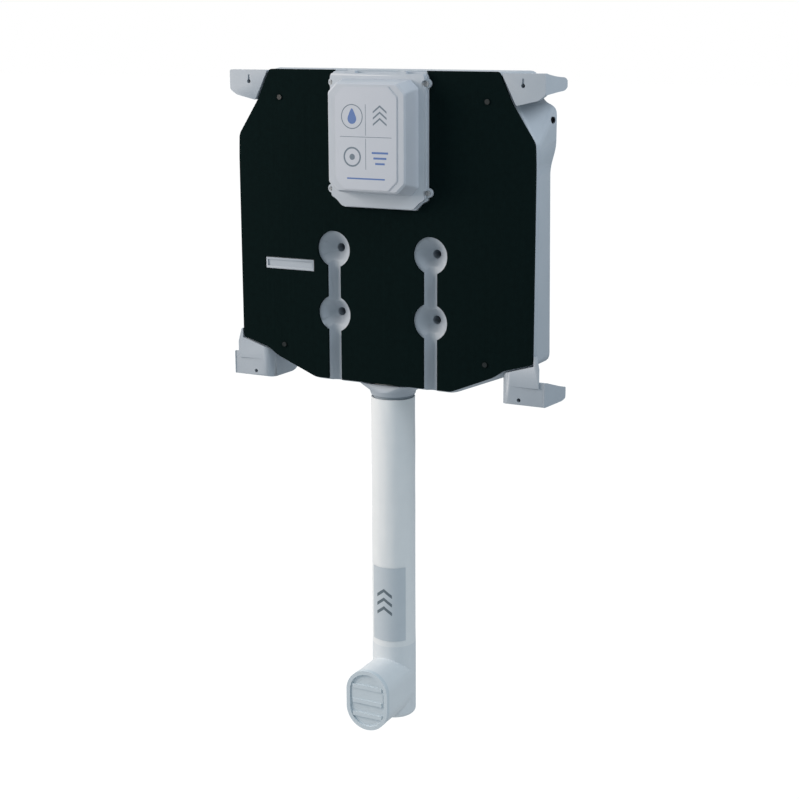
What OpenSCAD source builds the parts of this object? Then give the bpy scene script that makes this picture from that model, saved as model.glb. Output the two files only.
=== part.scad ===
// Concealed slim cistern: blow-moulded tank with a foam front, inspection shaft, fill valve,
// dual flush valve and an insulated flush pipe with a capped elbow.
// Millimetres. X runs right, Z up, the wall is the plane Y = 0 and the front faces -Y.
// The origin is the middle of the four wall fixings, on the wall.

/* [Tank] */
// Width of the tank's front face
tank_w = 450; // [440:1:470]
// Height of the tank from its top edge to its floor
tank_h = 423; // [415:1:440]
// Depth from the wall to the face of the foam
depth = 80; // [79:0.5:84]
// Thickness of the tank wall
wall = 2.6; // [2.4:0.1:2.8]
// Thickness of the foam on the front
foam_t = 4; // [3:0.5:4.5]

/* [Wall fixings] */
// From the tank's side in to the fixing
fix_inset = 22; // [21:0.5:23]
// From the tank's top edge down to the upper fixings
fix_drop = 15; // [14:0.5:16]
// From the tank's floor up to the lower fixings
fix_lift = 2; // [1:0.5:3]
// Diameter of the fixing holes
fix_d = 5.5; // [5:0.1:6]

/* [Inspection shaft] */
// Clear width of the shaft
shaft_w = 100; // [96:1:104]
// Clear height of the shaft
shaft_h = 136; // [132:1:138]
// How far the shaft cover stands out from the foam
cover_out = 40; // [36:0.5:50]

/* [Flush pipe] */
// Outside diameter of the flush pipe
pipe_d = 40; // [38:0.5:41]
// Outside diameter of the pipe's foam sleeve
sleeve_d = 62.4; // [61:0.2:66]
// From the tank's floor down to the axis of the elbow
pipe_drop = 445; // [400:5:480]
// From the pipe's axis to the mouth of the elbow
elbow_out = 78; // [74:1:90]
// Width of the elbow's shell
elbow_w = 64; // [63:0.5:68]
// Height of the elbow's shell
elbow_h = 88; // [84:1:96]

/* [Valve gear] */
// Outside diameter of the overflow stem
stem_d = 22; // [21:0.5:23]
// From the lever pin back to the tip of the lever
lever_reach = 39; // [37:0.5:40]

/* [Hidden] */
$fn = 64;
fit = 0.1;
run = 0.05;
play = 0.4;

hw = tank_w / 2;
foam_y = -depth;
front_y = foam_y + foam_t;
part_y = front_y + 56;
rear_y = -5;
in_y = front_y + wall;
floor_z = -tank_h;
fix_x = hw - fix_inset;
ear_z = -fix_drop;
foot_z = floor_z + fix_lift;
mid_z = (ear_z + foot_z) / 2;

axis_y = front_y + 30;
post_x = 0.3262 * hw;
post_z = [-238.4, -327.8];
post_r = 25.3;
groove_w = 20.8;
groove_d = 8;
groove_r = (groove_w * groove_w / 4 + groove_d * groove_d) / (2 * groove_d);
pin_at = [[hw - 70.7, -35.6], [hw - 70.7, floor_z + 45.2]];
pad_x = [43.2 - hw, -post_x - 32.4];
pad_z = [-270.8, -255.7];
hole_z = -59.6;

shaft_x = shaft_w / 2;
shaft_z = [-16 - shaft_h, -16];
collar_t = 2.4;
lug_at = [[shaft_x + 20, -14.1], [shaft_x + 22.4, shaft_z[0] - 2.9]];
lug_r = 6;
gasket_t = 1;
flange_y = front_y - gasket_t;
ledge_y = foam_y - 10;
cover_y = foam_y - cover_out;

neck_z = floor_z - 16;
sump_z = neck_z + wall;
seal_z = sump_z + 2;
seat_z = seal_z + 4;
seat_top = seat_z + 3.4;
pipe_r = pipe_d / 2;
pipe_t = 2;
bore_r = pipe_r - pipe_t;
spigot_r = pipe_r + 3.2;
spigot_z = neck_z - 19;
nut_r = spigot_r + 4.6;
sleeve_r = sleeve_d / 2;
sleeve_z = neck_z - 4;
elbow_z = floor_z - pipe_drop;
joint_z = elbow_z + 62;
elbow_foot = elbow_z - elbow_h / 2 - 5;
bend_r = 45;
mouth_y = axis_y - elbow_out;
socket_r = 22.6;
cap_t = 7.4;

stem_r = stem_d / 2;
cage_r = 27;
cage_top = seat_z + 114;
overflow_z = -190;
lift_x = 25.5;
lift_y = axis_y + 16.5;
pin_y = front_y + 14;
pin_z = -66;
pin_r = 2;
hook_z = pin_z + 2.7;

stop_x = 65 - hw;
fill_x = -post_x - 24.6;
feed_z = -58;
feed_y = -40;
pivot_x = fill_x - 20;
pivot_z = -24;
float_x = stop_x - 22;

// Outlines are lists of [x, z] seen from the front, counter-clockwise.
function unit(v) = v / norm(v);
function inward(v) = [-v.y, v.x];
function mix(a, b, t) = [for (i = [0:len(a) - 1]) a[i] * (1 - t) + b[i] * t];
function both(half) = concat([for (q = half) [-q.x, q.y]],
    [for (i = [len(half) - 1:-1:0]) half[i]]);
function box(x0, x1, z0, z1) = [[x0, z0], [x1, z0], [x1, z1], [x0, z1]];

// An outline moved in by d on every side
function inset(p, d) = let(n = len(p)) [for (i = [0:n - 1])
    let(u = inward(unit(p[i] - p[(i + n - 1) % n])), v = inward(unit(p[(i + 1) % n] - p[i])))
    p[i] + (u + v) * d / (1 + u * v)];

// An outline with every corner eased by a curve that starts r before it
function soften(p, r, n = 4) = let(m = len(p)) [for (i = [0:m - 1])
    let(a = p[(i + m - 1) % m] - p[i], c = p[(i + 1) % m] - p[i],
        t = min(r, norm(a) * 0.45, norm(c) * 0.45), s = unit(a) * t, e = unit(c) * t)
    for (k = [0:n]) let(q = k / n) p[i] + s * (1 - q) * (1 - q) + e * q * q];

// A skin over sections [y, outline], front section first. The outlines are the same on both
// sides, so the ends are closed by strips from side to side.
module loft(s) {
    n = len(s[0][1]);
    m = len(s);
    pts = [for (a = s) for (q = a[1]) [q.x, a[0], q.y]];
    band = [for (j = [0:m - 2]) for (i = [0:n - 1])
        let(a = j * n + i, b = j * n + (i + 1) % n)
        for (f = [[a, b, b + n], [a, b + n, a + n]]) f];
    strip = [for (i = [0:n / 2 - 2]) [i, i + 1, n - 2 - i, n - 1 - i]];
    front = [for (q = strip) [for (k = [3:-1:0]) q[k]]];
    rear = [for (q = strip) [for (i = q) (m - 1) * n + i]];
    polyhedron(points = pts, faces = concat(band, front, rear), convexity = 8);
}

// A flat plate in the X-Z plane between two depths
module plate(y0, y1, outline) {
    translate([0, y1, 0])
        rotate([90, 0, 0])
            linear_extrude(y1 - y0)
                polygon(outline);
}

module rod_x(y, z, r, x0, x1) {
    translate([x0, y, z])
        rotate([0, 90, 0])
            cylinder(r = r, h = x1 - x0);
}

module rod_y(x, z, r, y0, y1) {
    translate([x, y0, z])
        rotate([-90, 0, 0])
            cylinder(r = r, h = y1 - y0);
}

module rod_z(x, y, r, z0, z1) {
    translate([x, y, z0])
        cylinder(r = r, h = z1 - z0);
}

module block(x, y, z) {
    translate([x[0], y[0], z[0]])
        cube([x[1] - x[0], y[1] - y[0], z[1] - z[0]]);
}

module tube_z(x, y, r1, r0, z0, z1) {
    difference() {
        rod_z(x, y, r1, z0, z1);
        rod_z(x, y, r0, z0 - 1, z1 + 1);
    }
}

module sides() {
    children();
    mirror([1, 0, 0])
        children();
}

module hexagon(af, h) {
    linear_extrude(h)
        polygon([for (i = [0:5]) af / sqrt(3) * [cos(60 * i), sin(60 * i)]]);
}

// Half outlines of the tank, from the top corner down to the floor
front_half = [[hw - 53, 1], [hw - 34, -36.5], [hw - 1.5, -85.5], [hw - 0.5, -100],
    [hw, -120], [hw, floor_z + 50], [hw - 43, floor_z + 36], [hw - 58, floor_z + 25.5],
    [hw - 119, floor_z]];
rim_half = [[hw - 51, 1.5], [hw - 32.6, -36], [hw - 1.2, -85], [hw - 0.3, -99],
    [hw - 0.5, -120], [hw, floor_z + 49], [hw - 43, floor_z + 35], [hw - 58, floor_z + 24.5],
    [hw - 119, floor_z]];
mid_half = [[hw - 28, 2], [hw - 18, -36], [hw + 0.6, -44], [hw + 0.6, -94],
    [hw - 7, -122], [hw - 3, floor_z + 47], [hw - 43, floor_z + 31], [hw - 58, floor_z + 20],
    [hw - 118, floor_z]];
rear_half = [[hw - 31, -1], [hw - 23, -39], [hw - 5, -49], [hw - 5, -93],
    [hw - 12, -120], [hw - 8, floor_z + 50], [hw - 46, floor_z + 34], [hw - 60, floor_z + 22],
    [hw - 119, floor_z]];

module tank_skin(w) {
    loft([
        [front_y + w, soften(inset(both(front_half), 3 + w), 7)],
        [front_y + 4.5, soften(inset(both(rim_half), w), 8)],
        [part_y, soften(inset(both(mid_half), w), 9)],
        [rear_y - 9, soften(inset(both(rear_half), w), 10)],
        [rear_y - w, soften(inset(both(rear_half), 10 + w), 8)]
    ]);
}

module neck_skin(w) {
    hull() {
        for (x = [-22, 22])
            translate([x, axis_y, floor_z + (w > 0 ? wall : 0)])
                cylinder(r = 29.9 - w, h = 0.5, $fn = 32);
        translate([0, axis_y, floor_z - 10])
            cylinder(r = 33 - w, h = 0.5, $fn = 32);
    }
    translate([0, axis_y, neck_z + w])
        cylinder(r1 = 31 - w, r2 = 33 - w, h = 6.2 - w);
}

// Cone, neck and groove that hold the front and rear walls together
module kiss_off(z, w) {
    translate([post_x, front_y - 0.01, z])
        rotate([-90, 0, 0])
            cylinder(r1 = post_r + w, r2 = 6.5 + w, h = 18 + w);
    rod_y(post_x, z, 6 + w, front_y + 10, rear_y - 7 + 2 * w);
}

module groove(w) {
    rod_z(post_x, front_y - groove_r + groove_d, groove_r + w, floor_z - 4, post_z[0]);
}

// A block cut to a plan outline [x, y] and a side outline [y, z]
module carve(x, z, plan, side) {
    intersection() {
        translate([0, 0, z[0]])
            linear_extrude(z[1] - z[0])
                polygon(plan);
        translate([x[0], 0, 0])
            rotate([90, 0, 90])
                linear_extrude(x[1] - x[0])
                    polygon(side);
    }
}

// Hollow arm from the front plane back to the wall, tapering to a round nose
module ear() {
    x = [fix_x - 11, fix_x + 30.5];
    span = [ear_z - 30, ear_z + 30];
    difference() {
        carve(x, span,
            soften([[x[0], foam_y], [x[1], foam_y], [x[1] - 1, 0], [x[0] + 4, 0]], 3, 3),
            concat([[-40, ear_z + 10.6], [-62, ear_z + 13.2], [foam_y + 3, ear_z + 15.4],
                [foam_y, ear_z + 13.5], [foam_y, ear_z - 10], [foam_y + 2, ear_z - 11.4], [-36, ear_z - 9]],
                [for (a = [-90:12:90]) [-20 + 20 * cos(a), ear_z + 0.4 + 8.8 * sin(a)]]));
        carve(x, span,
            [[x[0] + 2.8, foam_y + 3], [x[1] - 2.8, foam_y + 3], [x[1] - 3.8, 1], [x[0] + 6.8, 1]],
            [[foam_y + 3, ear_z - 8.2], [-24, ear_z - 5.4], [1, ear_z - 1],
                [1, ear_z + 1.8], [-24, ear_z + 6], [foam_y + 3, ear_z + 12]]);
    }
    plate(foam_y, front_y + 5, soften([[hw - 51.6, ear_z + 15.4], [hw - 32.8, ear_z - 21.4],
        [hw - 31, ear_z - 25], [x[1] - 10, ear_z - 18.2], [x[1], ear_z - 11], [x[1], ear_z + 15.4]], 2.5, 3));
}

// Hollow leg under the tank with a well rounded inner front edge
module foot() {
    x = [fix_x - 26.5, fix_x + 36];
    z = [foot_z - 11, foot_z + 26];
    nose = [for (a = [0:15:90]) [x[0] + 14 - 14 * cos(a), foam_y + 14 - 14 * sin(a)]];
    difference() {
        carve(x, z,
            concat(soften([[x[1], foam_y], [x[1], 0], [x[0] + 4, 0]], 3, 3), nose),
            soften([[foam_y, foot_z - 7], [-14, foot_z - 11], [-3.5, foot_z - 9.4], [0, foot_z - 6],
                [0, foot_z + 3.4], [-3.5, foot_z + 6.4], [-14, foot_z + 8.5],
                [foam_y + 8, foot_z + 25.5], [foam_y, foot_z + 26]], 5, 4));
        carve(x, z,
            [[x[0] + 4, foam_y + 16], [x[0] + 14, foam_y + 3], [x[1] - 2.8, foam_y + 3],
                [x[1] - 2.8, 1], [x[0] + 7.8, 1]],
            [[foam_y + 3, foot_z - 4.2], [-12, foot_z - 7.4], [1, foot_z - 3.5], [1, foot_z + 0.8],
                [-14, foot_z + 5.7], [foam_y + 8, foot_z + 22.5], [foam_y + 3, foot_z + 22.5]]);
    }
    intersection() {
        translate([0, 0, foot_z])
            linear_extrude(90)
                polygon(concat([[fix_x + 28.2, foam_y], [fix_x + 27.4, foam_y + 4], [hw - 4, foam_y + 10],
                    [x[0] + 10, foam_y + 26], [x[0], foam_y + 26]], nose));
        plate(foam_y, foam_y + 26, [[x[0], foot_z + 18], [fix_x + 28.2, foot_z + 18],
            [fix_x + 28.2, foot_z + 41], [hw + 0.6, foot_z + 60], [hw - 1.4, foot_z + 60],
            [hw - 1.4, floor_z + 49],
            [hw - 42, floor_z + 36.8], [x[0], floor_z + 32.6]]);
    }
}

module lugs() {
    ear();
    foot();
    block([fix_x - 2, fix_x + 2], [front_y + 4, -24], [foot_z + 6, floor_z + 34]);
    for (z = [ear_z, foot_z])
        rod_y(fix_x, z, 6, foam_y + 2, 0);
}

// Water space, joined to the shaft opening and to the outlet
module tank_cavity() {
    difference() {
        union() {
            tank_skin(wall);
            neck_skin(wall);
        }
        sides() {
            for (z = post_z)
                kiss_off(z, wall);
            groove(wall);
            for (p = pin_at)
                rod_y(p.x, p.y, 5, front_y, front_y + 9);
            for (p = lug_at)
                rod_y(p.x, p.y, 5, front_y, front_y + 10);
        }
    }
    plate(foam_y, front_y + 6, soften(box(-shaft_x - collar_t - play, shaft_x + collar_t + play,
        shaft_z[0] - collar_t - play, shaft_z[1] + collar_t + play), 8, 6));
    rod_z(0, axis_y, spigot_r + 0.3, neck_z - 1, sump_z + 1);
    rod_y(stop_x, feed_z, 13, rear_y - 12, rear_y + 2);
}

module tank_shell() {
    color("#9aa4ad")
        difference() {
            union() {
                tank_skin(0);
                neck_skin(0);
                sides()
                    lugs();
                plate(front_y - 3.2, front_y + 1, box(pad_x[0], pad_x[1], pad_z[0], pad_z[1]));
            }
            tank_cavity();
            plate(foam_y, front_y - 1.7, box(pad_x[0] + 2.5, pad_x[1] - 2.5, pad_z[0] + 3, pad_z[1] - 3));
            sides() {
                for (z = post_z)
                    kiss_off(z, 0);
                groove(0);
                for (p = pin_at)
                    rod_y(p.x, p.y, 2.4 + fit, foam_y, front_y + 7.5);
                for (p = lug_at)
                    rod_y(p.x, p.y, 1.9 + fit, foam_y, front_y + 8.5);
                translate([hw - 2.4, part_y - 8.5, hole_z])
                    rotate([0, 0, -45])
                        rod_x(0, 0, 4.6, -7, 12);
                block([fix_x - 1.4, fix_x + 1.4], [foam_y - 5, foam_y + 1.6], [ear_z, ear_z + 9]);
                for (z = [ear_z, foot_z])
                    rod_y(fix_x, z, fix_d / 2, foam_y - 5, 5);
            }
        }
}

frame_half = [[shaft_x + 18, 0], [shaft_x + 21.5, -5], [shaft_x + 21.5, shaft_z[0] - 13],
    [shaft_x + 13.5, shaft_z[0] - 17], [shaft_x + 4, shaft_z[0] - 26.7]];

module foam_front() {
    half = [[hw - 55, 2], [hw - 36.8, -37.5], [hw - 4.6, -86.6], [hw - 3.4, -118],
        [hw - 3, floor_z + 51], [hw - 44, floor_z + 39.2], [hw - 59.2, floor_z + 28.4],
        [hw - 120.7, floor_z + 3]];
    color("#10191a")
        difference() {
            plate(foam_y, front_y, soften(both(half), 4, 3));
            plate(foam_y - 1, front_y + 1, concat(inset(both(frame_half), -1),
                [[shaft_x + 19, 5], [-shaft_x - 19, 5]]));
            sides() {
                for (z = post_z)
                    rod_y(post_x, z, post_r, foam_y - 1, front_y + 1);
                block([post_x - groove_w / 2, post_x + groove_w / 2], [foam_y - 1, front_y + 1],
                    [floor_z - 2, post_z[0]]);
                for (p = lug_at)
                    rod_y(p.x, p.y, lug_r + 0.8, foam_y - 1, front_y + 1);
                for (p = pin_at)
                    rod_y(p.x, p.y, 2.4 + fit, foam_y - 1, front_y + 1);
            }
            plate(foam_y - 1, front_y + 1, box(pad_x[0] - 1.2, pad_x[1] + 1.2, pad_z[0] - 1, pad_z[1] + 1));
        }
}

module foam_pins() {
    color("#1c2425")
        sides()
            for (p = pin_at) {
                rod_y(p.x, p.y, 3.4, foam_y - 1.1, foam_y);
                rod_y(p.x, p.y, 2.4, foam_y, front_y + 7);
            }
}

module frame_gasket() {
    color("#2b2b2b")
        difference() {
            plate(flange_y, front_y, soften(box(-shaft_x - 13, shaft_x + 13, shaft_z[0] - 12, -4), 6));
            plate(flange_y - 1, front_y + 1, soften(box(-shaft_x - collar_t - play, shaft_x + collar_t + play,
                shaft_z[0] - collar_t - play, shaft_z[1] + collar_t + play), 8, 6));
        }
}

module shaft_frame() {
    open = soften(box(-shaft_x, shaft_x, shaft_z[0], shaft_z[1]), 6, 6);
    color("#b4bac0") {
        difference() {
            union() {
                plate(foam_y - 2.5, flange_y, soften(both(frame_half), 2, 3));
                plate(ledge_y, foam_y - 2.5, soften(inset(both(frame_half), 1.8), 3, 3));
                plate(flange_y - 1, flange_y + 11, soften(box(-shaft_x - collar_t, shaft_x + collar_t,
                    shaft_z[0] - collar_t, shaft_z[1] + collar_t), 8, 6));
                sides()
                    for (p = lug_at)
                        rod_y(p.x, p.y, lug_r, foam_y - 3, flange_y);
                sides()
                    block([32, 43], [ledge_y + 1, foam_y], [-2, 1.6]);
            }
            plate(ledge_y - 1, flange_y + 12, open);
            sides()
                for (p = lug_at) {
                    rod_y(p.x, p.y, 2.2, ledge_y - 5, flange_y + 1);
                    rod_y(p.x, p.y, 4.2, ledge_y - 5, foam_y - 3);
                }
        }
        sides()
            block([shaft_x - 4, shaft_x + 0.5], [front_y, flange_y + 11], [-51, -47]);
    }
}

module frame_screws() {
    color("#6f777c")
        sides()
            for (p = lug_at)
                difference() {
                    union() {
                        rod_y(p.x, p.y, 3.6, foam_y - 5, foam_y - 3);
                        rod_y(p.x, p.y, 1.9, foam_y - 3, front_y + 8);
                    }
                    block([p.x - 3, p.x + 3], [foam_y - 6, foam_y - 3.8], [p.y - 0.5, p.y + 0.5]);
                    block([p.x - 0.5, p.x + 0.5], [foam_y - 6, foam_y - 3.8], [p.y - 3, p.y + 3]);
                }
}

// Rear edge sits on the frame, front panel is stepped
function panel(w, z0, z1, c) = both([[w - c, z1], [w, z1 - c], [w, z0 + c], [w - c, z0]]);

module shaft_cover() {
    x = shaft_x + 11.5;
    z0 = shaft_z[0] - 7;
    z1 = -9;
    color("#c3c8cd") {
        difference() {
            loft([
                [cover_y, soften(panel(x - 6.5, z0 + 7, z1 - 6, 12), 2.5)],
                [cover_y + 2, soften(panel(x - 4.5, z0 + 5, z1 - 4, 12), 2.5)],
                [ledge_y, soften(panel(x, z0, z1, 11), 2.5)]
            ]);
            loft([
                [cover_y + 2.2, soften(panel(x - 7, z0 + 7.5, z1 - 6.5, 12), 2.5)],
                [ledge_y - 2, soften(panel(x - 2.4, z0 + 2.4, z1 - 2.4, 11), 2.5)]
            ]);
            plate(ledge_y - 3, ledge_y + 1, box(-shaft_x + 3, shaft_x - 3, shaft_z[0] + 3, shaft_z[1] - 3));
        }
        plate(cover_y - 0.7, cover_y, soften(panel(shaft_x - 4, shaft_z[0] + 1, -17, 13), 2));
        difference() {
            plate(ledge_y - 2, ledge_y + 6, soften(box(-shaft_x + play, shaft_x - play,
                shaft_z[0] + play, shaft_z[1] - play), 6, 6));
            plate(ledge_y - 3, ledge_y + 7, box(-shaft_x + 3, shaft_x - 3, shaft_z[0] + 3, shaft_z[1] - 3));
        }
    }
}

module cover_label() {
    color("#dfe2e5")
        plate(cover_y - 1, cover_y - 0.7, soften(panel(shaft_x - 5, shaft_z[0] + 2, -18, 12.6), 2));
}

module bearing_block() {
    color("#d8d4c8")
        difference() {
            union() {
                block([-shaft_x + 0.2, shaft_x - 0.2], [front_y + 0.5, front_y + 9], [-47, -43]);
                for (x = [-29.5, 0, 29.5])
                    block([x - 1.5, x + 1.5], [front_y + 0.5, pin_y + 6], [pin_z - 8, -43]);
            }
            rod_x(pin_y, pin_z, pin_r + fit / 4, -40, 40);
        }
}

module lever_pin() {
    color("#aeb4b8")
        rod_x(pin_y, pin_z, pin_r, -33, 33);
}

// One rocker: hub on the pin, pad hanging in the shaft, arm reaching back under its hook
module rocker() {
    tip = pin_y + lever_reach;
    difference() {
        union() {
            rod_x(pin_y, pin_z, 5, 12, 22);
            block([14, 21], [pin_y, tip], [pin_z - 2.5, pin_z + 2.5]);
            block([14, 21], [pin_y + 3, pin_y + 10], [pin_z - 4, pin_z]);
            block([12, 22], [pin_y - 4, pin_y], [pin_z - 32, pin_z]);
            block([7, 26], [pin_y - 7, pin_y - 3.5], [pin_z - 38, pin_z - 20]);
            for (x = [9, 16, 23])
                block([x, x + 1.4], [pin_y - 7.6, pin_y - 6], [pin_z - 36, pin_z - 22]);
        }
        rod_x(pin_y, pin_z, pin_r + run, 0, 40);
    }
}

module full_flush_lever() {
    color("#4d7fa8")
        rocker();
}

module half_flush_lever() {
    color("#e3e3df")
        mirror([1, 0, 0])
            rocker();
}

module outlet_seal() {
    color("#222222")
        tube_z(0, axis_y, cage_r + 1, spigot_r + 0.2, sump_z, seal_z);
}

module outlet_body() {
    color("#e8e8e4")
        difference() {
            union() {
                rod_z(0, axis_y, cage_r + 1, seal_z, seat_z);
                rod_z(0, axis_y, bore_r + 2.6, seat_z, seat_top);
                rod_z(0, axis_y, spigot_r, spigot_z, seal_z);
            }
            rod_z(0, axis_y, bore_r, spigot_z - 1, seat_top + 1);
            rod_z(0, axis_y, pipe_r + play, spigot_z - 1, spigot_z + 14);
        }
}

module outlet_nut() {
    color("#3b4144")
        difference() {
            rod_z(0, axis_y, nut_r, spigot_z - 6, neck_z);
            rod_z(0, axis_y, spigot_r + fit, spigot_z - 2.5, neck_z + 1);
            rod_z(0, axis_y, pipe_r + 0.8, spigot_z - 7, neck_z);
            for (i = [0:15])
                translate([0, axis_y, spigot_z - 7])
                    rotate([0, 0, i * 22.5])
                        translate([nut_r + 0.6, 0, 0])
                            cylinder(r = 1.8, h = 22);
        }
}

module pipe_seal() {
    color("#242424")
        tube_z(0, axis_y, spigot_r, pipe_r + run, spigot_z - 2.5, spigot_z);
}

module valve_cage() {
    color("#e9e7df")
        difference() {
            union() {
                tube_z(0, axis_y, cage_r, cage_r - 2.4, seat_z, cage_top);
                tube_z(0, axis_y, cage_r, stem_r + run, cage_top - 3, cage_top);
                rod_z(-lift_x, lift_y, 5.5, cage_top - 14, cage_top);
            }
            for (a = [45, 135])
                translate([0, axis_y, seat_z + 8])
                    rotate([0, 0, a])
                        translate([-40, -13, 0])
                            cube([80, 26, 58]);
            rod_z(0, axis_y, cage_r - 2.4, cage_top - 20, cage_top - 3);
            rod_z(-lift_x, lift_y, 2.5 + run, cage_top - 20, cage_top + 1);
            block([-9, 9], [axis_y - cage_r - 1, axis_y - cage_r + 1.4], [floor_z + 2.8, floor_z + 5.3]);
        }
}

module flush_stem() {
    z = seat_top + 3;
    color("#5b8fb9")
        difference() {
            union() {
                rod_z(0, axis_y, stem_r, z, overflow_z);
                rod_z(0, axis_y, 21.5, z, z + 5);
                rod_z(0, axis_y, 13.5, z - 5, z);
                rod_z(0, axis_y, stem_r + 1.5, z + 28, z + 31);
            }
            rod_z(0, axis_y, stem_r - 2, z - 6, overflow_z + 1);
        }
}

module seat_seal() {
    color("#1f1f1f")
        tube_z(0, axis_y, 21.5, 13.5 + fit, seat_top + fit, seat_top + 3);
}

module stem_float() {
    z0 = seat_top + 34;
    z1 = z0 + 44;
    color("#f0efe8") {
        tube_z(0, axis_y, 20, 18, z0, z1);
        tube_z(0, axis_y, stem_r + 2, stem_r + fit, z0, z1);
        tube_z(0, axis_y, 20, stem_r + fit, z1 - 2, z1);
    }
}

// Rod with a plate at its head that a rocker lifts
module lift_rod(z0) {
    rod_z(lift_x, lift_y, 2.5, z0, hook_z + 3);
    block([13, lift_x + 2.5], [pin_y + lever_reach - 12, pin_y + lever_reach + 2], [hook_z, hook_z + 3]);
}

module lift_hook() {
    color("#4d7fa8") {
        tube_z(0, axis_y, stem_r + 3.5, stem_r + fit, overflow_z - 15, overflow_z - 3);
        translate([0, axis_y, overflow_z - 15])
            rotate([0, 0, atan2(lift_y - axis_y, lift_x)])
                translate([stem_r + 1.5, -3, 0])
                    cube([norm([lift_x, lift_y - axis_y]) - stem_r - 1.5, 6, 9]);
        lift_rod(overflow_z - 15);
    }
}

module half_flush_rod() {
    z = cage_top - 40;
    color("#e3e3df")
        mirror([1, 0, 0]) {
            lift_rod(z);
            block([lift_x, 46], [lift_y - 3, lift_y + 3], [z, z + 6]);
        }
}

module half_flush_float() {
    z = cage_top - 40;
    color("#f0efe8")
        difference() {
            block([-46, -30.5], [lift_y - 14, lift_y + 14], [z - 38, z]);
            block([-44.4, -32.1], [lift_y - 12.4, lift_y + 12.4], [z - 39, z - 1.6]);
        }
}

module supply_connector() {
    color("#c9a24b")
        difference() {
            union() {
                rod_y(stop_x, feed_z, 17, rear_y + 1.5, rear_y + 4.2);
                rod_y(stop_x, feed_z, 12.8, -20, rear_y + 2);
                rod_y(stop_x, feed_z, 10, -32, -20);
            }
            rod_y(stop_x, feed_z, 9.3, -18, rear_y + 5);
            rod_y(stop_x, feed_z, 6, -33, -10);
        }
}

module connector_washers() {
    color("#222222")
        for (y = [rear_y, rear_y - wall - 1.5])
            difference() {
                rod_y(stop_x, feed_z, 17, y, y + 1.5);
                rod_y(stop_x, feed_z, 12.8 + fit, y - 1, y + 3);
            }
}

module connector_nut() {
    y = rear_y - wall - 1.5;
    color("#c9a24b")
        difference() {
            translate([stop_x, y, feed_z])
                rotate([90, 0, 0])
                    hexagon(32, 7);
            rod_y(stop_x, feed_z, 12.8 + fit, y - 8, y + 1);
        }
}

module stop_valve_body() {
    color("#c9a24b")
        difference() {
            union() {
                rod_y(stop_x, feed_z, 14, -50, -20);
                rod_x(feed_y, feed_z, 8, stop_x, stop_x + 25);
                rod_y(stop_x, feed_z, 15, -27, -20);
            }
            rod_y(stop_x, feed_z, 10 + fit, -33, -19);
            rod_y(stop_x, feed_z, 7, -46, -30);
            rod_x(feed_y, feed_z, 5.5, stop_x, stop_x + 26);
            rod_y(stop_x, feed_z, 4 + run, -51, -45);
        }
}

module gland_nut() {
    color("#c9a24b")
        translate([stop_x, -50, feed_z])
            rotate([90, 0, 0])
                difference() {
                    hexagon(17, 4.5);
                    translate([0, 0, -1])
                        cylinder(r = 4 + play, h = 7);
                }
}

module stop_spindle() {
    color("#b9bec2")
        difference() {
            union() {
                rod_y(stop_x, feed_z, 4, -64, -45);
                rod_y(stop_x, feed_z, 6.6, -45, -42);
            }
            rod_y(stop_x, feed_z, 1.5, -65, -57);
        }
}

module stop_knob() {
    color("#2f6f9f")
        difference() {
            union() {
                rod_y(stop_x, feed_z, 11, -66, -57);
                block([stop_x - 2.5, stop_x + 2.5], [-69.5, -65], [feed_z - 10, feed_z + 10]);
            }
            rod_y(stop_x, feed_z, 4 + fit, -64, -56);
            rod_y(stop_x, feed_z, 1.5 + fit, -71, -60);
            rod_y(stop_x, feed_z, 2.6, -71, -67.5);
            for (i = [0:11])
                translate([stop_x, -70, feed_z])
                    rotate([-90, i * 30, 0])
                        translate([11.6, 0, 0])
                            cylinder(r = 1.6, h = 16);
        }
}

module knob_screw() {
    color("#8d9498")
        difference() {
            union() {
                rod_y(stop_x, feed_z, 2.4, -69, -67.5);
                rod_y(stop_x, feed_z, 1.5, -67.5, -58);
            }
            block([stop_x - 0.4, stop_x + 0.4], [-70, -68.3], [feed_z - 3, feed_z + 3]);
        }
}

module supply_tube() {
    color("#d8dadb")
        difference() {
            rod_x(feed_y, feed_z, 5.3, stop_x + 20, fill_x - 10);
            rod_x(feed_y, feed_z, 3.8, stop_x + 19, fill_x - 9);
        }
}

module union_nuts() {
    color("#c9a24b")
        for (x = [stop_x + 19, fill_x - 29])
            difference() {
                translate([x, feed_y, feed_z])
                    rotate([0, 90, 0])
                        hexagon(21, 10);
                rod_x(feed_y, feed_z, 8 + fit, x - 1, x + 11);
            }
}

module fill_valve_body() {
    color("#e6e6e2")
        difference() {
            union() {
                rod_z(fill_x, feed_y, 13, -78, -42);
                rod_x(feed_y, feed_z, 8, fill_x - 24, fill_x);
                rod_z(fill_x, feed_y, 9, -104, -78);
                block([pivot_x - 4, fill_x - 9], [feed_y - 8, feed_y + 8], [-44.6, -42]);
                for (y = [feed_y - 8, feed_y + 3.2])
                    block([pivot_x - 4, pivot_x + 4], [y, y + 4.8], [-44.6, pivot_z + 4]);
            }
            rod_x(feed_y, feed_z, 5.3 + fit, fill_x - 25, fill_x - 9.5);
            rod_x(feed_y, feed_z, 4, fill_x - 25, fill_x - 2);
            rod_z(fill_x, feed_y, 10.4, -74, -41);
            rod_z(fill_x, feed_y, 5, -80, -70);
            rod_z(fill_x, feed_y, 7 + fit, -105, -79);
            rod_y(pivot_x, pivot_z, 1.9 + fit / 4, feed_y - 9, feed_y + 9);
        }
}

module inlet_filter() {
    color("#7fa7c4")
        difference() {
            rod_x(feed_y, feed_z, 3.9, fill_x - 9.4, fill_x - 2.5);
            rod_x(feed_y, feed_z, 3, fill_x - 10, fill_x - 3.3);
        }
}

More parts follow.
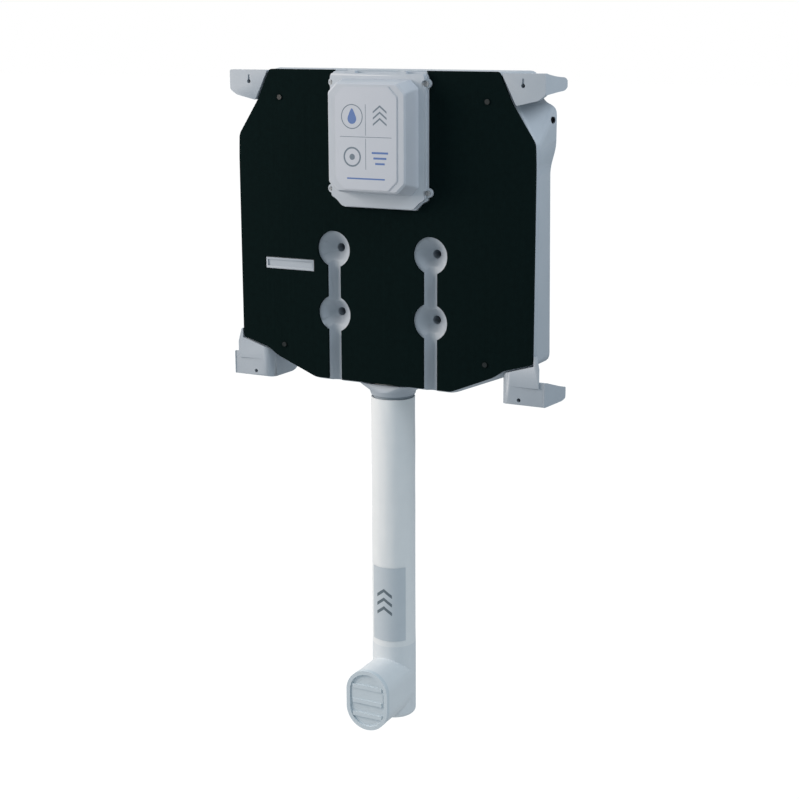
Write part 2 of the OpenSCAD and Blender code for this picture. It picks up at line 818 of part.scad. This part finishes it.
module diaphragm() {
    color("#2a2a2a")
        rod_z(fill_x, feed_y, 13, -42, -40.4);
}

module fill_valve_cap() {
    color("#2f6f9f")
        difference() {
            union() {
                rod_z(fill_x, feed_y, 15, -48, -33);
                rod_z(fill_x, feed_y, 2.2, -33, -29.2);
            }
            rod_z(fill_x, feed_y, 13 + fit, -49, -40.4);
            rod_z(fill_x, feed_y, 10, -41, -36);
            rod_z(fill_x, feed_y, 0.8, -37, -28);
            block([fill_x - 17, fill_x - 9], [feed_y - 8.4, feed_y + 8.4], [-49, -41.4]);
            for (i = [0:19])
                translate([fill_x, feed_y, -46])
                    rotate([0, 0, i * 18])
                        translate([15.4, 0, 0])
                            cylinder(r = 0.9, h = 14);
        }
}

module drop_tube() {
    color("#d8dadb")
        tube_z(fill_x, feed_y, 7, 5.4, floor_z + 28, -80);
}

module arm_pin() {
    color("#aeb4b8")
        rod_y(pivot_x, pivot_z, 1.9, feed_y - 9, feed_y + 9);
}

module float_arm() {
    color("#2f6f9f")
        difference() {
            union() {
                rod_y(pivot_x, pivot_z, 4.4, feed_y - 2.8, feed_y + 2.8);
                block([float_x, fill_x + 3], [feed_y - 2.4, feed_y + 2.4], [pivot_z - 1.8, pivot_z + 1.8]);
                rod_z(float_x, feed_y, 6, pivot_z - 4, pivot_z + 4);
                rod_z(fill_x, feed_y, 4, pivot_z - 1.8, pivot_z + 1.8);
            }
            rod_y(pivot_x, pivot_z, 1.9 + run, feed_y - 4, feed_y + 4);
            rod_z(float_x, feed_y, 2.4 + fit, pivot_z - 6, pivot_z + 6);
        }
}

module pilot_pad() {
    color("#242424")
        rod_z(fill_x, feed_y, 3, pivot_z - 3.2, pivot_z - 1.8);
}

module float_rod() {
    color("#d8dadb")
        rod_z(float_x, feed_y, 2.4, -108, pivot_z + 12);
}

module float_adjuster() {
    color("#e3e3df")
        difference() {
            rod_z(float_x, feed_y, 6.5, pivot_z + 4, pivot_z + 9);
            rod_z(float_x, feed_y, 2.4 + fit, pivot_z + 3, pivot_z + 10);
            for (i = [0:11])
                translate([float_x, feed_y, pivot_z + 3])
                    rotate([0, 0, i * 30])
                        translate([6.9, 0, 0])
                            cylinder(r = 1, h = 7);
        }
}

module float_cup() {
    x = [float_x - 13, float_x + 13];
    y = [feed_y - 22, feed_y + 22];
    color("#f0efe8")
        difference() {
            union() {
                translate([0, 0, -166])
                    linear_extrude(58)
                        polygon(soften(box(x[0], x[1], y[0], y[1]), 7, 5));
                rod_z(float_x, feed_y, 5, -110, -102);
            }
            translate([0, 0, -167])
                linear_extrude(57.4)
                    polygon(soften(box(x[0] + 1.6, x[1] - 1.6, y[0] + 1.6, y[1] - 1.6), 6, 5));
            rod_z(float_x, feed_y, 2.4 + fit, -108.2, -100);
        }
}

module flush_pipe() {
    color("#4a5256")
        difference() {
            union() {
                rod_z(0, axis_y, pipe_r, elbow_z + bend_r, spigot_z + 13);
                bend(pipe_r);
                rod_y(0, elbow_z, pipe_r, mouth_y + 20, axis_y - bend_r);
                rod_y(0, elbow_z, socket_r + 2.2, mouth_y, mouth_y + 28);
            }
            rod_z(0, axis_y, bore_r, elbow_z + bend_r, spigot_z + 14);
            bend(bore_r);
            rod_y(0, elbow_z, bore_r, mouth_y + 20, axis_y - bend_r);
            rod_y(0, elbow_z, socket_r, mouth_y - 1, mouth_y + 25.8);
        }
}

// Quarter turn of the pipe from upright to the front
module bend(r) {
    translate([0, axis_y - bend_r, elbow_z + bend_r])
        rotate([-90, 0, 90])
            rotate_extrude(angle = 90)
                translate([bend_r, 0])
                    circle(r = r);
}

module pipe_sleeve() {
    color("#e9ebec")
        difference() {
            rod_z(0, axis_y, sleeve_r, joint_z, sleeve_z);
            rod_z(0, axis_y, pipe_r + play, joint_z - 1, sleeve_z + 1);
            rod_z(0, axis_y, nut_r + 0.8, spigot_z - 9, sleeve_z + 1);
        }
}

module oval_y(r, h, y0, y1) {
    dz = h / 2 - r;
    for (z = [elbow_z - dz, elbow_z + dz])
        rod_y(0, z, r, y0, y1);
    block([-r, r], [y0, y1], [elbow_z - dz, elbow_z + dz]);
}

module elbow_shell() {
    edge = 7;
    color("#e4e7e9")
        difference() {
            union() {
                rod_z(0, axis_y, sleeve_r, elbow_foot + edge, joint_z);
                rod_z(0, axis_y, sleeve_r - edge, elbow_foot, joint_z);
                translate([0, axis_y, elbow_foot + edge])
                    rotate_extrude()
                        translate([sleeve_r - edge, 0])
                            circle(r = edge);
                oval_y(elbow_w / 2, elbow_h, mouth_y, axis_y);
            }
            union() {
                rod_z(0, axis_y, pipe_r + play, elbow_z + bend_r, joint_z + 1);
                bend(pipe_r + play);
                rod_y(0, elbow_z, pipe_r + play, mouth_y + 20, axis_y - bend_r);
                rod_y(0, elbow_z, socket_r + 2.2 + play, mouth_y - 1, mouth_y + 28.4);
                rod_y(0, elbow_z, socket_r + 4.8 + play, mouth_y - 1, mouth_y + 14.5);
            }
        }
}

module pipe_film() {
    color("#8f9ca3")
        translate([0, axis_y, elbow_z + 71])
            rotate([0, 0, -129])
                rotate_extrude(angle = 98)
                    translate([sleeve_r + 0.02, 0])
                        square([0.25, 110]);
}

module elbow_cap() {
    y0 = mouth_y - cap_t;
    r = elbow_w / 2 + 0.4;
    h = elbow_h + 0.8;
    color("#a9b4bc")
        difference() {
            union() {
                difference() {
                    oval_y(r, h, y0, mouth_y);
                    oval_y(r - 5.5, h - 11, y0 - 1, y0 + 3);
                }
                for (z = [19, -3, -23])
                    block([-23, 23], [y0 + 0.6, y0 + 4], [elbow_z + z - 3, elbow_z + z + 3]);
                block([-25, 25], [y0 + 1.8, y0 + 4], [elbow_z - 1, elbow_z + 17]);
                rod_y(0, elbow_z, socket_r + 4.8, mouth_y - 1, mouth_y + 14);
            }
            rod_y(0, elbow_z, socket_r + 2.2 + play, mouth_y, mouth_y + 15);
        }
}

module place() {
    translate([0, 0, -mid_z])
        children();
}

place() tank_shell();
place() foam_front();
place() foam_pins();
place() frame_gasket();
place() shaft_frame();
place() frame_screws();
place() bearing_block();
place() lever_pin();
place() outlet_seal();
place() outlet_body();
place() outlet_nut();
place() pipe_seal();
place() valve_cage();
place() supply_connector();
place() connector_washers();
place() connector_nut();
place() stop_valve_body();
place() gland_nut();
place() supply_tube();
place() union_nuts();
place() fill_valve_body();
place() inlet_filter();
place() diaphragm();
place() fill_valve_cap();
place() drop_tube();
place() arm_pin();
place() flush_pipe();
place() pipe_sleeve();
place() elbow_shell();
place() pipe_film();
place() elbow_cap();
place() shaft_cover();
place() cover_label();
place() flush_stem();
place() seat_seal();
place() stem_float();
place() lift_hook();
place() half_flush_rod();
place() half_flush_float();
place() full_flush_lever();
place() half_flush_lever();
place() float_arm();
place() pilot_pad();
place() float_rod();
place() float_adjuster();
place() float_cup();
place() stop_spindle();
place() stop_knob();
place() knob_screw();
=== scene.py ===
"""Slim in-wall toilet cistern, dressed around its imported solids. Metres, the wall is Y = 0."""
import math

import bmesh
import bpy
from mathutils import Matrix, Vector, noise


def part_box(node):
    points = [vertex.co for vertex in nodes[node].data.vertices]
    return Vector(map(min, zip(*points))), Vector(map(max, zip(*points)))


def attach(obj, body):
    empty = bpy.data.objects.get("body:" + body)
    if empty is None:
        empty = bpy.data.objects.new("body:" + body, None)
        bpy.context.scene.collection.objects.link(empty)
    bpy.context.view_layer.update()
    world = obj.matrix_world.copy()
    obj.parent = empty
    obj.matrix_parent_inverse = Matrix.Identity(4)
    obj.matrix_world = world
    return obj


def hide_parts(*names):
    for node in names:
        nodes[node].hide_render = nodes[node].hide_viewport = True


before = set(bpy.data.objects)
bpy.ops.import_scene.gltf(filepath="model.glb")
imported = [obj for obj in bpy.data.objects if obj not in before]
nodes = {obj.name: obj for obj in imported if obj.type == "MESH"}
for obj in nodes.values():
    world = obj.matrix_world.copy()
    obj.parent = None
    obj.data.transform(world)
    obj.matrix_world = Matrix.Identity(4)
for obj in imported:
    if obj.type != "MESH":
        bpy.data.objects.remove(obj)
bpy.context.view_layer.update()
scene = bpy.context.scene
scene.view_settings.view_transform = "Standard"

# Camera: a 71 mm lens on a full-frame sensor, about 2.2 m away, a little above the tank and
# to the right of its middle.
YAW, PITCH, ROLL = math.radians(27.196), math.radians(13.634), math.radians(-0.192)
TARGET = Vector((-0.01379, 0, -0.24241))
DISTANCE = 2.24374
back = Vector((math.sin(YAW) * math.cos(PITCH), -math.cos(YAW) * math.cos(PITCH), math.sin(PITCH)))
level = Vector((math.cos(YAW), math.sin(YAW), 0))
upright = back.cross(level)
across = level * math.cos(ROLL) + upright * math.sin(ROLL)
above = upright * math.cos(ROLL) - level * math.sin(ROLL)
aim = Matrix((across, above, back)).transposed().to_4x4()
camera = bpy.data.objects.new("camera", bpy.data.cameras.new("camera"))
scene.collection.objects.link(camera)
camera.data.lens = 70.89
camera.data.sensor_width = 36
camera.matrix_world = Matrix.Translation(TARGET + back * DISTANCE) @ aim
scene.camera = camera


# Studio: a pale blue fill behind a white surround, a white paper floor well below the part, one
# large soft lamp from the front left and a weaker, cooler one from the upper right.
WHITE = (1, 1, 1, 1)
FILL = 0.48
FLOOR_Z, FLOOR_HALF = -1.5, 40
PAPER_GLOW, PAPER_SHARE = 1.2, 0.8


def linear(colour):
    """An sRGB hex colour as linear RGBA."""
    parts = [int(colour[i:i + 2], 16) / 255 for i in (1, 3, 5)]
    return [c / 12.92 if c <= 0.04045 else ((c + 0.055) / 1.055) ** 2.4 for c in parts] + [1]


def add(tree, kind, links=None, **settings):
    """A new node with its settings; links gives its inputs, as sockets or as values."""
    made = tree.nodes.new(kind)
    for key, value in settings.items():
        setattr(made, key, value)
    for key, value in (links or {}).items():
        if isinstance(value, bpy.types.NodeSocket):
            tree.links.new(value, made.inputs[key])
        else:
            made.inputs[key].default_value = value
    return made


world = bpy.data.worlds.new("studio")
scene.world = world
world.use_nodes = True
tree = world.node_tree
tree.nodes.clear()
ray = add(tree, "ShaderNodeLightPath")
seen = add(tree, "ShaderNodeMath",
    {0: ray.outputs["Is Camera Ray"], 1: ray.outputs["Is Glossy Ray"]}, operation="MAXIMUM")
seen = add(tree, "ShaderNodeMath",
    {0: seen.outputs[0], 1: ray.outputs["Is Transmission Ray"]}, operation="MAXIMUM")
fill = add(tree, "ShaderNodeBackground", {"Color": linear("#E2F0F9"), "Strength": FILL})
white = add(tree, "ShaderNodeBackground", {"Color": WHITE, "Strength": 1})
both = add(tree, "ShaderNodeMixShader",
    {0: seen.outputs[0], 1: fill.outputs[0], 2: white.outputs[0]})
add(tree, "ShaderNodeOutputWorld", {"Surface": both.outputs[0]})

grid = bmesh.new()
bmesh.ops.create_grid(grid, x_segments=1, y_segments=1, size=FLOOR_HALF,
    matrix=Matrix.Translation((0, 0, FLOOR_Z)))
mesh = bpy.data.meshes.new("floor")
grid.to_mesh(mesh)
grid.free()
floor = bpy.data.objects.new("floor", mesh)
scene.collection.objects.link(floor)
paper = bpy.data.materials.new("white_paper")
paper.use_nodes = True
tree = paper.node_tree
tree.nodes.clear()
ray = add(tree, "ShaderNodeLightPath")
seen = add(tree, "ShaderNodeMath",
    {0: ray.outputs["Is Camera Ray"], 1: PAPER_SHARE}, operation="MULTIPLY")
matt = add(tree, "ShaderNodeBsdfDiffuse", {"Color": linear("#EDEDED")})
glow = add(tree, "ShaderNodeEmission", {"Color": WHITE, "Strength": PAPER_GLOW})
both = add(tree, "ShaderNodeMixShader",
    {0: seen.outputs[0], 1: matt.outputs[0], 2: glow.outputs[0]})
add(tree, "ShaderNodeOutputMaterial", {"Surface": both.outputs[0]})
mesh.materials.append(paper)


def lamp(name, place, size, power, colour):
    """A square soft box at place, turned to the part."""
    data = bpy.data.lights.new(name, "AREA")
    data.size = size
    data.energy = power
    data.color = linear(colour)[:3]
    made = bpy.data.objects.new(name, data)
    turned = (Vector(place) - TARGET).to_track_quat("Z", "Y").to_matrix().to_4x4()
    made.matrix_world = Matrix.Translation(place) @ turned
    scene.collection.objects.link(made)


lamp("key", (-1.45, -1.0, 0.45), 1.0, 27, "#FFF3EA")
lamp("side", (1.2, -0.35, 1.15), 0.8, 11, "#F0F7FF")


# Tank: one blow-moulded polyethylene shell with its ears, feet, kiss-off cones, grooves and neck.
# Its edges are as the solid has them, and the grey skin has a faint mottle and a fine grain.
SHARP = math.radians(35)
FLAT = math.radians(0.5)
MERGE = 2e-6


def moulded(name, colour, shade, mottle_mm, skin_mm, rough, depth=0.05, gloss=0.5):
    """A moulded plastic, rubber or foam: two close tones and the skin that its mould gives it."""
    made = bpy.data.materials.new(name)
    made.use_nodes = True
    tree = made.node_tree
    body = tree.nodes["Principled BSDF"]
    body.inputs["Specular IOR Level"].default_value = gloss
    spot = add(tree, "ShaderNodeTexCoord")
    mottle = add(tree, "ShaderNodeTexNoise", {"Vector": spot.outputs["Object"],
        "Scale": 1000 / mottle_mm, "Detail": 3, "Roughness": 0.55})
    tint = add(tree, "ShaderNodeMix", {"Factor": mottle.outputs["Fac"], "A": linear(shade),
        "B": linear(colour)}, data_type="RGBA")
    tree.links.new(tint.outputs["Result"], body.inputs["Base Color"])
    wear = add(tree, "ShaderNodeMapRange", {"Value": mottle.outputs["Fac"], "To Min": rough - 0.05,
        "To Max": rough + 0.07})
    tree.links.new(wear.outputs["Result"], body.inputs["Roughness"])
    skin = add(tree, "ShaderNodeTexNoise", {"Vector": spot.outputs["Object"],
        "Scale": 1000 / skin_mm, "Detail": 2})
    bump = add(tree, "ShaderNodeBump", {"Height": skin.outputs["Fac"], "Strength": 0.25,
        "Distance": depth / 1000})
    tree.links.new(bump.outputs["Normal"], body.inputs["Normal"])
    return made


def copied(node):
    """A merged copy of a CAD node's mesh, with its flat faces in one piece."""
    shape = bmesh.new()
    shape.from_mesh(nodes[node].data)
    bmesh.ops.remove_doubles(shape, verts=shape.verts, dist=MERGE)
    bmesh.ops.dissolve_limit(shape, angle_limit=FLAT, verts=shape.verts, edges=shape.edges)
    return shape


def soften(shape, width, least=0.001):
    """Rounds the sharp edges of shape that are longer than least."""
    edges = [edge for edge in shape.edges if len(edge.link_faces) == 2
        and edge.calc_face_angle() > SHARP and edge.calc_length() > least]
    bmesh.ops.bevel(shape, geom=edges, offset=width, segments=2, profile=0.5, affect="EDGES",
        clamp_overlap=True, material=-1)


def piece(shape, name, body, finish, slot, *stands_for):
    """The finished object of a shape: shaded, with its material, riding on its body."""
    mesh = bpy.data.meshes.new(name)
    shape.to_mesh(mesh)
    shape.free()
    mesh.materials.append(finish)
    mesh.shade_smooth()
    mesh.set_sharp_from_angle(angle=SHARP)
    made = bpy.data.objects.new(name, mesh)
    scene.collection.objects.link(made)
    even = made.modifiers.new("even_normals", "WEIGHTED_NORMAL")
    even.keep_sharp = True
    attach(made, body)
    if stands_for:
        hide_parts(*stands_for)
    return made


polyethylene = moulded("polyethylene_grey", "#AFB7BF", "#A2ABB4", 60, 2.2, 0.45)
tank = copied("tank_shell")
piece(tank, "tank", "cistern", polyethylene, "tank_plastic", "tank_shell")

# Foam front: a black sheet against condensation, 4 mm thick, die-cut to clear the shaft, the cones
# and the grooves. Its face has fine upright ribs, and the four pins draw it in a little.
RIB, RIB_DEPTH, RIB_VARIES = 0.0034, 0.0004, 0.0003
PIN_X, PIN_Z = 0.1543, (0.1824, -0.1598)
PINCH_DEPTH, PINCH_REACH = 0.0008, 0.006
ROW = 0.02
AT_FACE = 1e-5


def cut(shape, place, normal):
    """Splits the faces of shape along the plane through place."""
    bmesh.ops.bisect_plane(shape, geom=shape.verts[:] + shape.edges[:] + shape.faces[:], dist=1e-6,
        plane_co=place, plane_no=normal)


low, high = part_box("foam_front")
foam = copied("foam_front")
for step in range(math.floor(low.x / RIB * 2), math.ceil(high.x / RIB * 2)):
    cut(foam, (step * RIB / 2, 0, 0), (1, 0, 0))
heights = [low.z + ROW * i for i in range(1, int((high.z - low.z) / ROW) + 1)]
heights += [z + side * gap for z in PIN_Z for side in (-1, 1)
    for gap in (0.002, 0.005, 0.008, 0.012)]
for z in heights:
    cut(foam, (0, 0, z), (0, 0, 1))
for v in foam.verts:
    if v.co.y < low.y + AT_FACE:
        rib = noise.noise((math.floor(v.co.x / RIB + 0.5) * 0.7, v.co.z * 4, 0))
        wave = 0.5 - 0.5 * math.cos(2 * math.pi * v.co.x / RIB)
        pin = min((v.co.xz - Vector((side * PIN_X, z))).length for side in (-1, 1) for z in PIN_Z)
        v.co.y += (RIB_DEPTH + RIB_VARIES * rib) * wave
        v.co.y += PINCH_DEPTH * math.exp(-(pin / PINCH_REACH) ** 2)
black_foam = moulded("foam_black", "#0C1A1A", "#061111", 8, 1.2, 0.95, 0.2, 0.04)
sheet = piece(foam, "foam_sheet", "cistern", black_foam, "black_foam", "foam_front")

# Foam pins: black polypropylene push pins in blind holes of the tank, with low heads that hold
# the foam sheet by its corners.
polypropylene = moulded("polypropylene_black", "#0E1616", "#0A1010", 8, 1.0, 0.3)
pins = copied("foam_pins")
soften(pins, 0.0009)
piece(pins, "push_pins", "cistern", polypropylene, "pin_plastic", "foam_pins")

# Shaft frame: an ABS plate with a collar round the inspection shaft, four screw lugs and two clip
# tabs, moulded grey with a satin face and screwed to the tank over its gasket.
abs_grey = moulded("abs_grey", "#BCC3CA", "#B3BBC3", 30, 1.5, 0.4)
collar = copied("shaft_frame")
soften(collar, 0.0006)
piece(collar, "shaft_collar", "cistern", abs_grey, "frame_plastic", "shaft_frame")


# Frame screws: four cross-head screws of bright zinc-plated steel, one through each lug of the
# shaft's frame. The same steel serves the pins and the spindle of the valve gear.
def metal(name, colour, shade, grain_mm, rough):
    """A turned or pressed metal: two close tones and a fine grain in its gloss."""
    made = bpy.data.materials.new(name)
    made.use_nodes = True
    tree = made.node_tree
    body = tree.nodes["Principled BSDF"]
    body.inputs["Metallic"].default_value = 1
    spot = add(tree, "ShaderNodeTexCoord")
    grain = add(tree, "ShaderNodeTexNoise", {"Vector": spot.outputs["Object"],
        "Scale": 1000 / grain_mm, "Detail": 4})
    tint = add(tree, "ShaderNodeMix", {"Factor": grain.outputs["Fac"], "A": linear(shade),
        "B": linear(colour)}, data_type="RGBA")
    tree.links.new(tint.outputs["Result"], body.inputs["Base Color"])
    wear = add(tree, "ShaderNodeMapRange", {"Value": grain.outputs["Fac"], "To Min": rough - 0.06,
        "To Max": rough + 0.1})
    tree.links.new(wear.outputs["Result"], body.inputs["Roughness"])
    return made


zinc_steel = metal("steel_zinc_plated", "#A9ADB0", "#94999D", 3, 0.3)
screws = copied("frame_screws")
soften(screws, 0.0002, 0.0006)
piece(screws, "lug_screws", "cistern", zinc_steel, "steel", "frame_screws")

# Shaft cover: a pale ABS tray with stepped, bevelled faces that pushes into the shaft. It comes
# off to reach the valve gear, and its label comes with it.
abs_pale = moulded("abs_pale_grey", "#BFC4CB", "#B7BDC5", 30, 1.5, 0.36)
cover = copied("shaft_cover")
soften(cover, 0.0007)
piece(cover, "shaft_lid_tray", "shaft_lid", abs_pale, "cover_plastic", "shaft_cover")

# Label: a vinyl film on the cover, printed in blue and grey with four plain signs between thin
# rules. The ink lies on the film as flat shapes, placed in mm from the label's middle.
LABEL_Z = 0.134
INK, INK_LIFT = 0.00003, 0.00004
DROP_X, DROP_Z, DROP_WIDE, DROP_TIP = -20, 25, 13, 7
vinyl = moulded("vinyl_white", "#C2C6CE", "#BCC1C9", 30, 0.8, 0.5)
label = copied("cover_label")
piece(label, "lid_label", "shaft_lid", vinyl, "label_paper", "cover_label")
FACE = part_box("cover_label")[0].y
facing = Matrix.Rotation(math.pi / 2, 4, "X")


def spot_at(x, z, wide, tall):
    """The place of a flat unit shape on the label, all in mm."""
    place = Matrix.Translation((x / 1000, FACE - INK_LIFT, LABEL_Z + z / 1000))
    return place @ facing @ Matrix.Diagonal((wide / 1000, tall / 1000, 1, 1))


def bar(ink, x, z, wide, tall):
    """A plain bar."""
    bmesh.ops.create_grid(ink, x_segments=1, y_segments=1, size=0.5,
        matrix=spot_at(x, z, wide, tall))


def disc(ink, x, z, wide):
    """A full disc; gives back its points."""
    return bmesh.ops.create_circle(ink, cap_ends=True, segments=32, radius=0.5,
        matrix=spot_at(x, z, wide, wide))["verts"]


def chevron(ink, x, z, wide, line, rise):
    """A bar of two halves whose middle stands up by rise."""
    made = bmesh.ops.create_grid(ink, x_segments=2, y_segments=1, size=0.5,
        matrix=spot_at(x, z, wide, line))
    for v in made["verts"]:
        if abs(v.co.x - x / 1000) < wide / 4000:
            v.co.z += rise / 1000


def ring(ink, x, z, wide, line):
    """A disc with all but a rim of its face taken out."""
    face = disc(ink, x, z, wide)[0].link_faces[0]
    bmesh.ops.inset_region(ink, faces=[face], thickness=line / 1000, use_boundary=True,
        use_even_offset=True)
    bmesh.ops.delete(ink, geom=[face], context="FACES_ONLY")


blue_ink = bmesh.new()
for v in disc(blue_ink, DROP_X, DROP_Z, DROP_WIDE):
    upper = max(0, (v.co.z - LABEL_Z - DROP_Z / 1000) / (DROP_WIDE / 2000))
    v.co.z += DROP_TIP / 1000 * upper ** 5
for step in range(3):
    bar(blue_ink, 21, -18 - 7 * step, 24 - 5 * step, 2.6)
bar(blue_ink, 0, -52, 56, 2)
grey_ink = bmesh.new()
ring(grey_ink, -20, 28, 32, 1.2)
for z in (18, 26, 34):
    chevron(grey_ink, 21, z, 20, 2.6, 8)
ring(grey_ink, -20, -24, 26, 2.2)
disc(grey_ink, -20, -24, 8)
bar(grey_ink, 0, 2, 76, 0.7)
for z in (24, -20):
    bar(grey_ink, 0, z, 0.7, 40)
for name, ink, colour, shade in (("label_blue", blue_ink, "#5A78AE", "#526FA4"),
        ("label_grey", grey_ink, "#6E7C88", "#66747F")):
    bmesh.ops.solidify(ink, geom=ink.faces[:], thickness=INK)
    inked = moulded(name + "_ink", colour, shade, 12, 0.6, 0.5)
    piece(ink, name, "shaft_lid", inked, "label_paper")

# Flush pipe: black polyethylene with its bend and socket, hidden in the foam. Only its mouth shows,
# once the cap is off.
polyethylene_black = moulded("polyethylene_black", "#3E464A", "#353D41", 15, 1, 0.4)
pipe = copied("flush_pipe")
piece(pipe, "pipe_and_socket", "flush_pipe_run", polyethylene_black, "pipe_plastic", "flush_pipe")

# Pipe sleeve: an extruded tube of white polyethylene foam, slipped over the flush pipe, with a
# wider bore and a soft lip round the nut. Its skin has long, shallow creases. The outline's radii
# and heights are in mm.
BORE, WIDE_BORE, OUTER = 20.4, 28.6, 31.2
BOTTOM, STEP, TOP = -588, -249, -225
CREASE, CREASE_WIDE, CREASE_LONG, CREASE_FADE = 0.0009, 0.011, 0.06, 0.02
OUTSIDE = 0.031
low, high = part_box("pipe_sleeve")
AXIS_Y = (low.y + high.y) / 2
sleeve = bmesh.new()
outline = [(BORE, BOTTOM), (OUTER, BOTTOM), (OUTER, TOP - 1.2), (30.8, TOP - 0.3), (30, TOP),
    (29.2, TOP - 0.1), (WIDE_BORE, TOP - 0.8), (WIDE_BORE, STEP), (BORE, STEP)]
ends = [sleeve.verts.new((r / 1000, AXIS_Y, z / 1000)) for r, z in outline]
walls = [sleeve.edges.new((ends[i], ends[(i + 1) % len(ends)])) for i in range(len(ends))]
bmesh.ops.subdivide_edges(sleeve, edges=walls[1:2], cuts=60)
bmesh.ops.spin(sleeve, geom=sleeve.verts[:] + sleeve.edges[:], cent=(0, AXIS_Y, 0), axis=(0, 0, 1),
    angle=2 * math.pi, steps=120, use_merge=True)
bmesh.ops.remove_doubles(sleeve, verts=sleeve.verts, dist=1e-6)
bmesh.ops.recalc_face_normals(sleeve, faces=sleeve.faces)
for v in sleeve.verts:
    away = Vector((v.co.x, v.co.y - AXIS_Y, 0))
    if away.length > OUTSIDE:
        crease = 0.5 + 0.5 * noise.noise((v.co.x / CREASE_WIDE, v.co.y / CREASE_WIDE,
            v.co.z / CREASE_LONG))
        fade = min(1, (v.co.z - BOTTOM / 1000) / CREASE_FADE)
        v.co -= away.normalized() * CREASE * crease * fade
white_foam = moulded("foam_white", "#ECEFF0", "#E4E8EA", 25, 2.5, 0.6, 0.25, 0.3)
sleeve = piece(sleeve, "foam_sleeve", "flush_pipe_run", white_foam, "white_foam", "pipe_sleeve")

# Elbow shell: moulded white foam round the bend, with an oval stub towards the front. A small
# fillet fills the hollow edge where the stub leaves the upright.
HOLLOW = -0.5
FILLET = 0.003
UPRIGHT_R = 0.0305
shell = copied("elbow_shell")
root = [e for e in shell.edges if len(e.link_faces) == 2 and e.calc_face_angle_signed() < HOLLOW
    and all(Vector((v.co.x, v.co.y - AXIS_Y)).length > UPRIGHT_R for v in e.verts)]
bmesh.ops.bevel(shell, geom=root, offset=FILLET, segments=3, profile=0.5, affect="EDGES",
    clamp_overlap=True, material=-1)
# Painted shade: the sleeve's white foam, painted a tone darker for the dimmer light low on the pipe
# and on the stub's side.
shell_foam_painted_shade = moulded("foam_white_painted_shade", "#E2E7EA", "#DAE0E4", 25, 2.5, 0.6, 0.25, 0.3)
shell = piece(shell, "foam_elbow", "flush_pipe_run", shell_foam_painted_shade, "white_foam", "elbow_shell")

# Film: a grey polyethylene wrap on the sleeve's front, printed with three chevrons. Each chevron is
# a flat strip, bent round the pipe's axis and folded up to a point.
FILM_R, INK_R = 0.0315, 0.03151
CHEVRON_Z, CHEVRON_STEP = -0.512, 0.013
CHEVRON_WIDE, CHEVRON_LINE, CHEVRON_RISE, CHEVRON_SLOPE = 0.024, 0.005, 0.009, 0.75
film_grey = moulded("polyethylene_film", "#CAD2D8", "#C2CBD2", 25, 3, 0.35)
piece(copied("pipe_film"), "sleeve_film", "flush_pipe_run", film_grey, "pipe_film", "pipe_film")
strip = facing @ Matrix.Diagonal((CHEVRON_WIDE, CHEVRON_LINE, 1, 1))
chevrons = bmesh.new()
for step in range(3):
    place = Matrix.Translation((0, 0, CHEVRON_Z - CHEVRON_STEP * step))
    made = bmesh.ops.create_grid(chevrons, x_segments=16, y_segments=1, size=0.5,
        matrix=place @ strip)
    for v in made["verts"]:
        turn = v.co.x / FILM_R - math.pi / 2
        folded = v.co.z + CHEVRON_RISE - CHEVRON_SLOPE * abs(v.co.x)
        v.co = (INK_R * math.cos(turn), AXIS_Y + INK_R * math.sin(turn), folded)
bmesh.ops.solidify(chevrons, geom=chevrons.faces[:], thickness=INK)
film_ink = moulded("film_ink", "#67747C", "#5F6C74", 12, 0.6, 0.45)
piece(chevrons, "film_chevrons", "flush_pipe_run", film_ink, "pipe_film")

# Elbow cap: a grey polypropylene cap that slips over the socket, with ridges across its face. It
# keeps the pipe clean until the pan is fitted.
cap_grey = moulded("polypropylene_grey", "#D2DCE2", "#CAD5DC", 25, 1.5, 0.45)
cap = copied("elbow_cap")
soften(cap, 0.0006)
piece(cap, "mouth_cap", "elbow_plug", cap_grey, "cap_plastic", "elbow_cap")

# Outlet nut: a grooved polypropylene ring nut under the tank. Most of it sits inside the mouth of
# the sleeve.
nut_grey = moulded("polypropylene_nut", "#98A3AC", "#8E99A2", 25, 1.5, 0.45)
nut = copied("outlet_nut")
soften(nut, 0.0004)
piece(nut, "ring_nut", "cistern", nut_grey, "grey_nut_plastic", "outlet_nut")

# Valve gear inside the tank: acetal mouldings, rubber seals, polyethylene tubes, turned brass and
# steel pins. These keep the meshes of their solids.
rubber = moulded("rubber_black", "#222424", "#1A1C1C", 8, 0.8, 0.7)
acetal = moulded("acetal_white", "#E8E7E1", "#DFDED8", 15, 1, 0.4)
blue = moulded("acetal_blue", "#3F7FAE", "#37739F", 15, 1, 0.4)
tube = moulded("polyethylene_natural", "#D8DCDD", "#CED3D5", 15, 1, 0.4)
brass = metal("brass_turned", "#C9A24B", "#B8923F", 3, 0.3)
for finish, group in (
        (rubber, "frame_gasket outlet_seal pipe_seal connector_washers seat_seal diaphragm"
            " pilot_pad"),
        (zinc_steel, "lever_pin arm_pin stop_spindle knob_screw"),
        (acetal, "bearing_block outlet_body valve_cage fill_valve_body stem_float half_flush_rod"
            " half_flush_float half_flush_lever float_adjuster float_cup"),
        (blue, "flush_stem lift_hook full_flush_lever float_arm fill_valve_cap stop_knob"
            " inlet_filter"),
        (brass, "supply_connector connector_nut stop_valve_body gland_nut union_nuts"),
        (tube, "supply_tube drop_tube float_rod")):
    for node in group.split():
        nodes[node].data.materials.clear()
        nodes[node].data.materials.append(finish)
